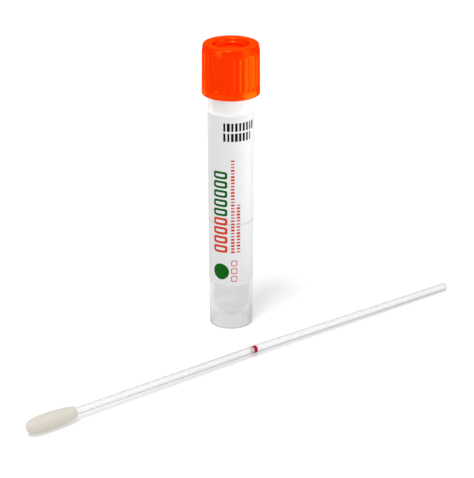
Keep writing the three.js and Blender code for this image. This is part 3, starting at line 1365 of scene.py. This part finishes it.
    def mark_grip(self, mesh: bpy.types.Mesh, heights: np.ndarray, shares: np.ndarray) -> None:
        """Writes how deep the ribs are pressed into each vertex, as the attribute grip.

        Args:
            mesh: The turned blank.
            heights: Height of each row of the outline.
            shares: Share of the depth for each row.
        """
        spots = places(mesh) - np.array(self.layout.axis)
        pressed = np.nonzero(shares)[0]
        run = pressed[np.argsort(heights[pressed])]
        outer = np.hypot(spots[:, 0], spots[:, 1]) > self.bore + self.wall / 3
        depth = np.interp(spots[:, 2], heights[run], shares[run], left=0, right=0)
        grip = mesh.attributes.new("grip", "FLOAT", "POINT")
        grip.data.foreach_set("value", np.where(outer, depth, 0).astype(np.float32))


@dataclass
class SealingRing:
    """The flat ring of pale elastomer between the tube's rim and the cap."""

    layout: Layout
    cap: ScrewCap
    clearance: float = 0.2 * MM
    edge_round: float = 0.12 * MM
    sides: int = 96

    def build(self) -> bpy.types.Object:
        """Builds and dresses the ring.

        Returns:
            The ring, which stands for its node.
        """
        inner = self.cap.tube.bore_radius
        outer = self.cap.bore - self.clearance
        foot, top = self.layout.seal_foot, self.layout.seal_top
        middle = (foot + top) / 2
        points = outline(
            (inner, middle),
            (inner, foot, self.edge_round),
            (outer, foot, self.edge_round),
            (outer, top, self.edge_round),
            (inner, top, self.edge_round),
            (inner, middle),
        )[:-1]
        mesh = moved(turned(points, self.sides, closed=True), self.layout.on_axis)
        piece = dressed(add_piece("cap_seal", mesh), PALE_ELASTOMER, "ring", "seal")
        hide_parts("sealing_ring")
        return piece


# ---- Label and medium --------------------------------------------------------------------------------


@dataclass
class WrapLabel:
    """The white film wrapped round the barrel, its ends overlapping at the back, and its print."""

    layout: Layout
    tube: Tube
    gap: float = 0.02 * MM
    thickness: float = 0.08 * MM
    overlap: float = 3.0 * MM
    ramp: float = 1.5 * MM  # over which the outer end climbs onto the inner one
    steps: int = 160
    ink_thickness: float = 0.012 * MM

    def radius_at(self, height: float) -> float:
        """Radius of the film's inner face at a height."""
        return self.tube.foot_radius + self.tube.draft * height + self.gap

    def film(self) -> bpy.types.Mesh:
        """The film as a strip that starts and ends at the back.

        Returns:
            Its mesh, round the tube.
        """
        wall = self.tube.shoulder_radius
        angle = np.linspace(0, TAU + self.overlap / wall, self.steps + 1)
        climb = smooth((angle - TAU + self.ramp / wall) / (self.ramp / wall))
        lift = climb * (self.thickness + self.gap / 2)
        bearing = self.layout.facing + math.pi + angle
        low, high = self.layout.label_foot, self.layout.label_top
        edges = ((low, 0.0), (low, self.thickness), (high, self.thickness), (high, 0.0))
        rows = []
        for height, depth in edges:
            radius = self.radius_at(height) + lift + depth
            level = np.full(len(angle), height)
            rows.append(np.stack((radius * np.cos(bearing), radius * np.sin(bearing), level), axis=-1))
        count = len(angle)
        faces = grid_faces(len(rows), count, ends_join=False)
        faces.append([row * count for row in range(len(rows))])
        faces.append([row * count + self.steps for row in reversed(range(len(rows)))])
        return moved(smooth_mesh(np.concatenate(rows), faces), self.layout.on_axis)

    def build(self) -> list[bpy.types.Object]:
        """Builds and dresses the film and its print.

        Returns:
            The film, which stands for the label's node, and the printed pieces.
        """
        finish = LabelFilm(
            "white_film",
            (0.8, 0.8, 0.81, 1.0),
            roughness=0.42,
            shade=0.985,
            drift=8.0 * MM,
            grain=0.4 * MM,
            line_height=self.layout.medium_top,
            axis=tuple(self.layout.axis),
        )
        film = dressed(add_piece("label_film", self.film()), finish, "root", "label")
        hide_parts("label")
        return [film, *LabelPrint(self).build()]


class Stamp(Enum):
    """The shapes that the print is made of."""

    CELL = "cell"
    TICK = "tick"
    DOT = "dot"
    SPECK = "speck"
    DASH = "dash"
    BAR = "bar"


@dataclass(frozen=True)
class Mark:
    """One row of stamps in the label's print.

    across is measured round the tube from the middle of its front to the right, and up from the
    floor. Each stamp is cut to a share of its length between shortest and longest. An upright row
    runs up the tube.
    """

    ink: Ink
    stamp: Stamp
    across: float
    up: float
    count: int = 1
    pitch: float = 0.0
    shortest: float = 1.0
    longest: float = 1.0
    upright: bool = True
    seed: int = 0


@dataclass
class LabelPrint:
    """Generic print: a column of write-in cells in two colours, greeked lines, a dot with tick
    boxes beside it, two rows of plain black bars and a few specks."""

    label: WrapLabel
    cell_half: tuple[float, float] = (1.08 * MM, 2.1 * MM)  # half the cell, along and across its row
    cell_stroke: float = 0.66 * MM
    cell_pitch: float = 2.7 * MM
    cell_column: float = -3.1 * MM
    tick_half: tuple[float, float] = (0.86 * MM, 0.86 * MM)
    tick_stroke: float = 0.22 * MM
    tick_pitch: float = 2.3 * MM
    dot_radius: float = 2.35 * MM
    speck_radius: float = 0.2 * MM
    speck_pitch: float = 1.75 * MM
    line_height: float = 1.0 * MM  # of a greeked line
    line_foot: float = 23.2 * MM
    dash_pitch: float = 0.92 * MM
    dash_cuts: tuple[float, float] = (0.3, 0.62)  # the shortest and the longest share of a stamp
    bar_height: float = 2.35 * MM
    bar_pitch: float = 1.1 * MM
    bar_start: float = -1.8 * MM
    bar_cuts: tuple[float, float] = (0.35, 0.8)
    stamp_length: float = 1.0 * MM  # of a dash or a bar before it is cut
    squareness: float = 5.0  # of the superellipse that a frame follows: 2 is an ellipse
    sides: int = 48  # of a frame or a disc
    rings: int = 8  # of a disc
    cells: int = 4  # each way on a bar

    def stamps(self) -> dict[Stamp, bpy.types.Object]:
        """The flat stamps, lying in the X-Z plane with their faces towards -Y.

        Returns:
            The object of each stamp.
        """
        meshes = {
            Stamp.CELL: self.frame(self.cell_half, self.cell_stroke),
            Stamp.TICK: self.frame(self.tick_half, self.tick_stroke),
            Stamp.DOT: self.disc(self.dot_radius),
            Stamp.SPECK: self.disc(self.speck_radius),
            Stamp.DASH: self.bar(self.line_height),
            Stamp.BAR: self.bar(self.bar_height),
        }
        return {stamp: add_piece(stamp.value, mesh) for stamp, mesh in meshes.items()}

    def marks(self) -> list[Mark]:
        """The rows of the print.

        Returns:
            The rows, from which each ink picks its own.
        """
        red, green, black = Ink.ORANGE_RED, Ink.GREEN, Ink.BLACK
        cells = (self.cell_pitch,)
        dashes = (self.dash_pitch, *self.dash_cuts)
        bars = (self.bar_pitch, *self.bar_cuts, False)
        return [
            Mark(red, Stamp.CELL, self.cell_column, 24.0 * MM, 4, *cells),
            Mark(green, Stamp.CELL, self.cell_column, 34.8 * MM, 5, *cells),
            Mark(red, Stamp.DASH, 0.5 * MM, self.line_foot, 30, *dashes, seed=3),
            Mark(red, Stamp.DASH, 2.1 * MM, self.line_foot, 16, *dashes, seed=8),
            Mark(green, Stamp.DOT, -2.9 * MM, 17.2 * MM),
            Mark(red, Stamp.TICK, 0.9 * MM, 15.2 * MM, 3, self.tick_pitch),
            Mark(black, Stamp.BAR, self.bar_start, 59.5 * MM, 9, *bars, seed=5),
            Mark(black, Stamp.BAR, self.bar_start, 56.6 * MM, 8, *bars, seed=11),
            Mark(black, Stamp.SPECK, -9.0 * MM, 56.7 * MM, 3, self.speck_pitch),
        ]

    def frame(self, half: tuple[float, float], stroke: float) -> bpy.types.Mesh:
        """An open frame with rounded corners.

        Args:
            half: Half its size along the row and across it.
            stroke: Width of its line.

        Returns:
            The stamp's mesh.
        """
        turn = np.arange(self.sides) * TAU / self.sides
        ray = np.stack((np.cos(turn), np.sin(turn)), axis=-1)
        reach = (np.abs(ray) ** self.squareness).sum(axis=-1, keepdims=True) ** (1 / self.squareness)
        outer = ray / reach * half
        inner = ray / reach * (half[0] - stroke, half[1] - stroke)
        front = -self.label.ink_thickness
        loops = ((inner, 0), (outer, 0), (outer, front), (inner, front))
        grid = np.concatenate([np.insert(loop, 1, level, axis=1) for loop, level in loops])
        return smooth_mesh(grid, grid_faces(len(loops), self.sides))

    def disc(self, radius: float) -> bpy.types.Mesh:
        """A round dot, with rings enough to bend round the tube.

        Args:
            radius: Its radius.

        Returns:
            The stamp's mesh.
        """
        rings = np.linspace(0, radius, self.rings + 1)
        back = np.stack((rings, 0 * rings), axis=-1)
        front = np.stack((rings[::-1], 0 * rings + self.label.ink_thickness), axis=-1)
        lying = turned(np.concatenate((back, front)), self.sides)
        return moved(lying, lambda spots: spots[:, (0, 2, 1)] * (1, -1, 1))

    def bar(self, height: float) -> bpy.types.Mesh:
        """A plain bar, which bends round the tube at its ends.

        Args:
            height: Its size across the row.

        Returns:
            The stamp's mesh.
        """
        cells = self.cells
        across = np.linspace(-height / 2, height / 2, cells + 1)
        front = np.full(cells + 1, -self.label.ink_thickness)
        back, face = np.stack((0 * front, across), axis=-1), np.stack((front, across[::-1]), axis=-1)
        rim = np.concatenate((back, face))
        stations = np.linspace(-self.stamp_length / 2, self.stamp_length / 2, cells + 1)
        grid = np.concatenate([np.insert(rim, 0, station, axis=1) for station in stations])
        first = list(range(len(rim)))
        caps = [first[::-1], [cells * len(rim) + spot for spot in first]]
        return smooth_mesh(grid, caps + grid_faces(cells + 1, len(rim), rows_join=False))

    def build(self) -> list[bpy.types.Object]:
        """Sets all marks down and joins them into one piece for each ink.

        Returns:
            The printed pieces.
        """
        stamps = self.stamps()
        recipes = StampRow(), PrintWrap()
        pieces = []
        for ink in (Ink.GREEN, Ink.ORANGE_RED, Ink.BLACK):
            finish = ink.finish()
            material = finish.material()
            marks = [mark for mark in self.marks() if mark.ink is ink]
            rows = [self.row(mark, stamps[mark.stamp], *recipes, material) for mark in marks]
            piece = self.joined(f"print_{ink.name.lower()}", rows)
            pieces.append(dressed(piece, finish, "root", "label"))
        for stamp in stamps.values():
            bpy.data.objects.remove(stamp)
        return pieces

    def row(
        self,
        mark: Mark,
        stamp: bpy.types.Object,
        line_up: StampRow,
        wrap: PrintWrap,
        material: bpy.types.Material,
    ) -> bpy.types.Object:
        """Sets one row of stamps down on the label.

        Args:
            mark: The row.
            stamp: What it repeats.
            line_up: The recipe for the flat row.
            wrap: The recipe that bends it round the tube.
            material: The ink.

        Returns:
            The row as a plain mesh.
        """
        label = self.label
        piece = add_piece("row", bpy.data.meshes.new("row"))
        line_up.apply(
            piece,
            Stamp=stamp,
            Count=mark.count,
            Pitch=(mark.pitch, 0.0, 0.0),
            Shortest=mark.shortest,
            Longest=mark.longest,
            Seed=mark.seed,
            Finish=material,
        )
        wrap.apply(
            piece,
            Axis=tuple(label.layout.axis),
            Facing=label.layout.facing,
            Foot_Radius=label.radius_at(0.0) + label.thickness,
            Draft=label.tube.draft,
            Place=(mark.across, 0.0, mark.up),
            Turn=-math.pi / 2 if mark.upright else 0.0,
            Finish=material,
        )
        return baked(piece)

    @staticmethod
    def joined(name: str, parts: list[bpy.types.Object]) -> bpy.types.Object:
        """Joins several plain meshes into the first of them.

        Args:
            name: The joined piece's name.
            parts: The objects that are joined.

        Returns:
            The joined piece.
        """
        with bpy.context.temp_override(active_object=parts[0], selected_editable_objects=parts):
            bpy.ops.object.join()
        parts[0].name = parts[0].data.name = name
        return parts[0]


@dataclass
class Medium:
    """The clear liquid in the tube. It climbs the wall a little at its surface."""

    layout: Layout
    tube: Tube
    wetting: float = 0.01 * MM  # how far it is let into the wall, so that no air shows between
    meniscus: float = 0.45 * MM
    meniscus_width: float = 1.3 * MM
    sides: int = 96

    def build(self) -> bpy.types.Object:
        """Builds and dresses the medium.

        Returns:
            The medium, which stands for its node.
        """
        tube = self.tube
        foot = tube.cone_tip - self.wetting
        edge = tube.bore_at(self.layout.medium_top) + self.wetting
        level = self.layout.medium_top - self.meniscus
        points = outline(
            (0, foot),
            (tube.tip_radius, foot, tube.tip_radius / 2),
            (tube.bore_foot + self.wetting, tube.cone_top, tube.tip_radius),
            (edge, self.layout.medium_top),
            (edge - self.meniscus_width / 4, level, self.meniscus_width / 4),
            (edge - self.meniscus_width, level),
            (0, level),
        )
        mesh = moved(turned(points, self.sides), self.layout.on_axis)
        piece = dressed(add_piece("medium_fill", mesh), CLEAR_MEDIUM, "root", "medium")
        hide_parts("transport_medium")
        return piece


# ---- Swab --------------------------------------------------------------------------------------------


@dataclass
class FlockedSwab:
    """The swab: a moulded shaft with a coloured breakpoint and a tip sown with short fibres."""

    layout: Layout
    beside: float = 23.2 * MM  # the tube's axis to the shaft's axis
    shaft_radius: float = 1.05 * MM  # on the tip's side of the breakpoint
    handle_radius: float = 1.15 * MM
    handle_round: float = 0.3 * MM
    handle_length: float = 72.4 * MM
    waist_radius: float = 0.88 * MM
    waist_taper: float = 0.12 * MM
    mark_width: float = 1.1 * MM
    mark_thickness: float = 0.14 * MM
    mark_gap: float = 0.02 * MM
    bow: float = 1.0 * MM  # sideways set of the shaft at its breakpoint
    flock_length: float = 16.2 * MM
    flock_radius: float = 2.3 * MM
    flock_nose: float = 0.9  # of the radius, how wide the nose starts
    flock_swell: float = 2.15 * MM  # from the nose, where its curve aims at the full radius
    flock_belly: float = 6.8 * MM  # from the nose to where the flock is thickest
    flock_heel: float = 1.65 * MM  # radius at its end on the shaft
    nose_steps: int = 23
    heel_steps: int = 15
    core_start: float = 1.3 * MM  # from the nose to the end of the shaft inside
    core_radius: float = 0.6 * MM
    fibre_length: float = 0.18 * MM
    fibre_thickness: float = 0.026 * MM
    fibre_lean: float = 0.35
    fibre_density: float = 1.2e8  # for each square metre
    fibre_seed: int = 4
    sides: int = 64
    pitch: float = 2.0 * MM  # longest row of the shaft's mesh

    @property
    def length(self) -> float:
        """Tip to handle, along the shaft."""
        return (self.layout.handle - self.layout.tip) / math.cos(self.tilt)

    @property
    def tilt(self) -> float:
        """Slope of the shaft, as the swab lies on its flock's belly and on its handle's end."""
        span = self.layout.handle - self.layout.tip - self.flock_belly
        return math.asin((self.flock_radius - self.handle_radius) / span)

    @property
    def break_at(self) -> float:
        """Middle of the breakpoint, from the tip."""
        return self.length - self.handle_length

    def laid(self, spots: np.ndarray) -> np.ndarray:
        """Lays vertex rows that were turned round Z down along the shaft.

        Args:
            spots: Rows whose Z is the place along the shaft, from its tip.

        Returns:
            The same vertices in the part's frame, bowed and tilted.
        """
        along = spots[:, 2]
        share = np.minimum(along / self.break_at, (self.length - along) / (self.length - self.break_at))
        rise = self.flock_radius * math.cos(self.tilt) + self.flock_belly * math.sin(self.tilt)
        upright = -spots[:, 0]
        return np.stack(
            (
                self.layout.tip + along * math.cos(self.tilt) + upright * math.sin(self.tilt),
                self.layout.axis.y - self.beside + spots[:, 1] + self.bow * share,
                rise - along * math.sin(self.tilt) + upright * math.cos(self.tilt),
            ),
            axis=-1,
        )

    def flock_outline(self) -> np.ndarray:
        """The tip's outline under its fibres, from its nose to its heel.

        Returns:
            Its (r, z) rows.
        """
        inset = self.fibre_length
        radius, belly = self.flock_radius - inset, self.flock_belly
        heel = self.flock_length - self.shaft_radius
        nose = ((0, inset), (self.flock_nose * radius, inset), (radius, self.flock_swell), (radius, belly))
        flank = ((radius, belly), (radius, (belly + heel) / 2), (self.flock_heel - inset, heel))
        front, back = self.curve(self.nose_steps, *nose), self.curve(self.heel_steps, *flank)
        return np.concatenate((front, back[1:]))

    @staticmethod
    def curve(steps: int, *handles: tuple[float, float]) -> np.ndarray:
        """A Bezier curve in the r-z plane.

        Args:
            steps: Straight pieces in it.
            handles: (r, z) of its start, of what it aims at and of its end.

        Returns:
            Its (r, z) rows.
        """
        share = np.linspace(0, 1, steps + 1)[:, None]
        degree = len(handles) - 1
        weights = (math.comb(degree, k) * (1 - share) ** (degree - k) * share**k for k in range(degree + 1))
        return sum(weight * np.array(handle) for weight, handle in zip(weights, handles))

    def build(self) -> list[bpy.types.Object]:
        """Builds and dresses the shaft, the tip and the mark.

        Returns:
            The swab's pieces.
        """
        return [self.shaft(), self.flock_core(), self.flock_fibres(), self.mark()]

    def shaft(self) -> bpy.types.Object:
        """Builds and dresses the moulded shaft, with its waist at the breakpoint.

        Returns:
            The shaft, which stands for its node.
        """
        waist, half = self.break_at, self.mark_width / 2
        ends = half + self.waist_taper
        points = outline(
            (0, self.core_start),
            (self.core_radius, self.core_start, self.core_radius / 2),
            (self.core_radius, self.flock_length - self.shaft_radius),
            (self.shaft_radius, self.flock_length, self.waist_taper / 3),
            (self.shaft_radius, waist - ends, self.waist_taper / 3),
            (self.waist_radius, waist - half, self.waist_taper / 3),
            (self.waist_radius, waist + half, self.waist_taper / 3),
            (self.handle_radius, waist + ends, self.waist_taper / 3),
            (self.handle_radius, self.length, self.handle_round),
            (0, self.length),
        )
        mesh = moved(turned(refined(points, self.pitch), self.sides), self.laid)
        piece = dressed(add_piece("swab_rod", mesh), FROSTED_SHAFT, "root", "shaft")
        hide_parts("swab_shaft")
        return piece

    def flock_core(self) -> bpy.types.Object:
        """Builds and dresses the body of the tip under its fibres.

        Returns:
            The body, which stands for the tip's node.
        """
        points = self.flock_outline()
        points = np.concatenate((points, ((0, points[-1][1]),)))
        mesh = moved(turned(points, self.sides), self.laid)
        piece = dressed(add_piece("flock_core", mesh), CREAM_FLOCK, "root", "flock")
        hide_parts("flocked_tip")
        return piece

    def flock_fibres(self) -> bpy.types.Object:
        """Builds and dresses the short fibres that stand on the tip.

        Returns:
            The fibres.
        """
        mesh = moved(turned(self.flock_outline(), self.sides), self.laid)
        piece = add_piece("flock_fibres", mesh)
        FlockSowing().apply(
            piece,
            Density=self.fibre_density,
            Length=self.fibre_length,
            Thickness=self.fibre_thickness,
            Lean=self.fibre_lean,
            Seed=self.fibre_seed,
            Finish=CREAM_FIBRE.material(),
        )
        return dressed(baked(piece), CREAM_FIBRE, "root", "flock")

    def mark(self) -> bpy.types.Object:
        """Builds and dresses the coloured ring in the breakpoint's waist.

        Returns:
            The ring, which stands for the mark's node.
        """
        inner = self.waist_radius + self.mark_gap
        outer = inner + self.mark_thickness
        half = self.mark_width / 2
        points = outline(
            (inner, self.break_at),
            (inner, self.break_at - half),
            (outer, self.break_at - half, self.mark_thickness / 3),
            (outer, self.break_at + half, self.mark_thickness / 3),
            (inner, self.break_at + half),
            (inner, self.break_at),
        )[:-1]
        mesh = moved(turned(points, self.sides, closed=True), self.laid)
        piece = dressed(add_piece("break_mark", mesh), Ink.CRIMSON.finish(), "root", "mark")
        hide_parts("breakpoint_mark")
        return piece


# ---- Studio ------------------------------------------------------------------------------------------


@dataclass(frozen=True)
class Softbox:
    """A square lamp that faces the tube, or lies on the floor and faces up.

    bearing is measured from the camera's side of the tube to the right, and glow is how bright
    the lamp's own face is, where 1 is white.
    """

    name: str
    bearing: float
    elevation: float
    distance: float
    size: float
    glow: float
    flat: bool = False


@dataclass
class Studio:
    """The pale floor, the camera and the light."""

    layout: Layout
    azimuth: float = -40.27  # degrees: the camera's side of the object
    elevation: float = 21.449
    distance: float = 641.7 * MM
    lens: float = 173.53
    nearest: float = 0.05  # what the camera shows, from here
    farthest: float = 20.0
    aside: float = 1.66 * MM  # the aim, to the right of the tube's axis
    aim_height: float = 24.7 * MM
    floor_size: float = 6.0
    floor_drop: float = 0.01 * MM  # below the part's foot
    floor_colour: Colour = (0.74, 0.74, 0.74, 1.0)
    floor_lift: float = 0.28  # light that the camera and clear plastic see on the floor as well
    ambience: float = 0.58
    panel_height: float = 2.0 * MM
    softboxes: tuple[Softbox, ...] = (
        Softbox("front_softbox", -26.0, 70.0, 4.0, 0.9, 31.0),
        Softbox("right_softbox", 66.0, 14.0, 3.0, 1.5, 2.3),
        Softbox("left_softbox", -50.0, 6.0, 3.0, 1.2, 3.2),
        Softbox("back_softbox", 175.0, 20.0, 3.0, 2.5, 0.9),
        Softbox("high_softbox", 175.0, 52.0, 3.0, 1.3, 2.0),
        Softbox("right_panel", 84.0, 0.0, 0.25, 0.28, 2.5, flat=True),
        Softbox("left_panel", -132.0, 0.0, 0.25, 0.12, 2.5, flat=True),
    )

    def build(self) -> None:
        """Sets up the camera, the floor, the world and the lamps."""
        self.camera()
        self.floor()
        self.world()
        for softbox in self.softboxes:
            self.lamp(softbox)
        bpy.context.scene.view_settings.view_transform = "Standard"

    def back(self, azimuth: float, elevation: float) -> Vector:
        """The direction from the object towards a viewer.

        Args:
            azimuth: The viewer's side of the object, in degrees.
            elevation: The viewer's height angle, in degrees.

        Returns:
            The direction, of length 1.
        """
        turn, climb = math.radians(azimuth), math.radians(elevation)
        level = math.cos(climb)
        return Vector((math.sin(turn) * level, -math.cos(turn) * level, math.sin(climb)))

    def camera(self) -> None:
        """Places the camera and makes it the scene's own."""
        turn = math.radians(self.azimuth)
        right = Vector((math.cos(turn), math.sin(turn), 0))
        aim = self.layout.axis + right * self.aside + Vector((0, 0, self.aim_height))
        back = self.back(self.azimuth, self.elevation)
        data = bpy.data.cameras.new("camera")
        data.lens = self.lens
        data.clip_start, data.clip_end = self.nearest, self.farthest
        camera = bpy.data.objects.new("camera", data)
        camera.location = aim + back * self.distance
        camera.rotation_euler = (-back).to_track_quat("-Z", "Y").to_euler()
        bpy.context.scene.collection.objects.link(camera)
        bpy.context.scene.camera = camera

    def seen(self, sheet: NodeSheet, *kinds: str) -> bpy.types.NodeSocket:
        """Picks the rays that show the background.

        Args:
            sheet: Where the nodes go.
            kinds: Kinds of ray beside those from the camera and through clear plastic.

        Returns:
            A socket that holds 1 for such a ray and 0 for any other.
        """
        rays = sheet.add("ShaderNodeLightPath").outputs
        share = sheet.maths("MAXIMUM", rays["Is Camera Ray"], rays["Is Transmission Ray"])
        for kind in kinds:
            share = sheet.maths("MAXIMUM", share, rays[kind])
        return share

    def floor(self) -> None:
        """Lays the floor, pale enough to show as white where no shadow falls."""
        half = self.floor_size / 2
        spots = [(-half, -half, 0), (half, -half, 0), (half, half, 0), (-half, half, 0)]
        mesh = bpy.data.meshes.new("floor")
        mesh.from_pydata(spots, [], [(0, 1, 2, 3)])
        floor = add_piece("floor", mesh)
        floor.location.z = -self.floor_drop
        material = bpy.data.materials.new("floor_card")
        sheet = NodeSheet.cleared(material)
        card = sheet.add("ShaderNodeBsdfDiffuse", {"Color": self.floor_colour}).outputs[0]
        glow = {"Strength": sheet.maths("MULTIPLY", self.seen(sheet), self.floor_lift)}
        both = {0: card, 1: sheet.add("ShaderNodeEmission", glow).outputs[0]}
        surface = sheet.add("ShaderNodeAddShader", both).outputs[0]
        sheet.add("ShaderNodeOutputMaterial", {"Surface": surface})
        mesh.materials.append(material)

    def world(self) -> None:
        """Lights the scene evenly from all round, in front of a white background."""
        world = bpy.data.worlds.new("studio")
        sheet = NodeSheet.cleared(world)
        level = sheet.eased(self.seen(sheet, "Is Glossy Ray"), 0.0, 1.0, self.ambience, 1.0)
        sky = sheet.add("ShaderNodeBackground", {"Strength": level}).outputs[0]
        sheet.add("ShaderNodeOutputWorld", {"Surface": sky})
        bpy.context.scene.world = world

    def lamp(self, softbox: Softbox) -> None:
        """Hangs one softbox, facing the middle of the tube, or lays it on the floor.

        Args:
            softbox: The lamp.
        """
        data = bpy.data.lights.new(softbox.name, "AREA")
        data.shape = "SQUARE"
        data.size = softbox.size
        data.energy = softbox.glow * math.pi * softbox.size**2
        back = self.back(self.azimuth + softbox.bearing, softbox.elevation)
        lamp = bpy.data.objects.new(softbox.name, data)
        height = self.panel_height if softbox.flat else self.aim_height
        way = Vector((0, 0, 1)) if softbox.flat else -back
        lamp.location = self.layout.axis + Vector((0, 0, height)) + back * softbox.distance
        lamp.rotation_euler = way.to_track_quat("-Z", "Y").to_euler()
        bpy.context.scene.collection.objects.link(lamp)


# ---- Assembly ----------------------------------------------------------------------------------------


def corners(box: tuple[Vector, Vector]) -> list[list[float]]:
    """A box's lowest and highest corners as plain lists."""
    return [list(corner) for corner in box]


def main() -> None:
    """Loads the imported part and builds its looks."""
    logging.basicConfig(level=logging.INFO, format="%(message)s")
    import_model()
    layout = Layout.read()
    Studio(layout).build()
    tube = Tube(layout)
    tube.build()
    cap = ScrewCap(layout, tube)
    cap.build()
    SealingRing(layout, cap).build()
    WrapLabel(layout, tube).build()
    Medium(layout, tube).build()
    FlockedSwab(layout).build()


if __name__ == "__main__":
    main()
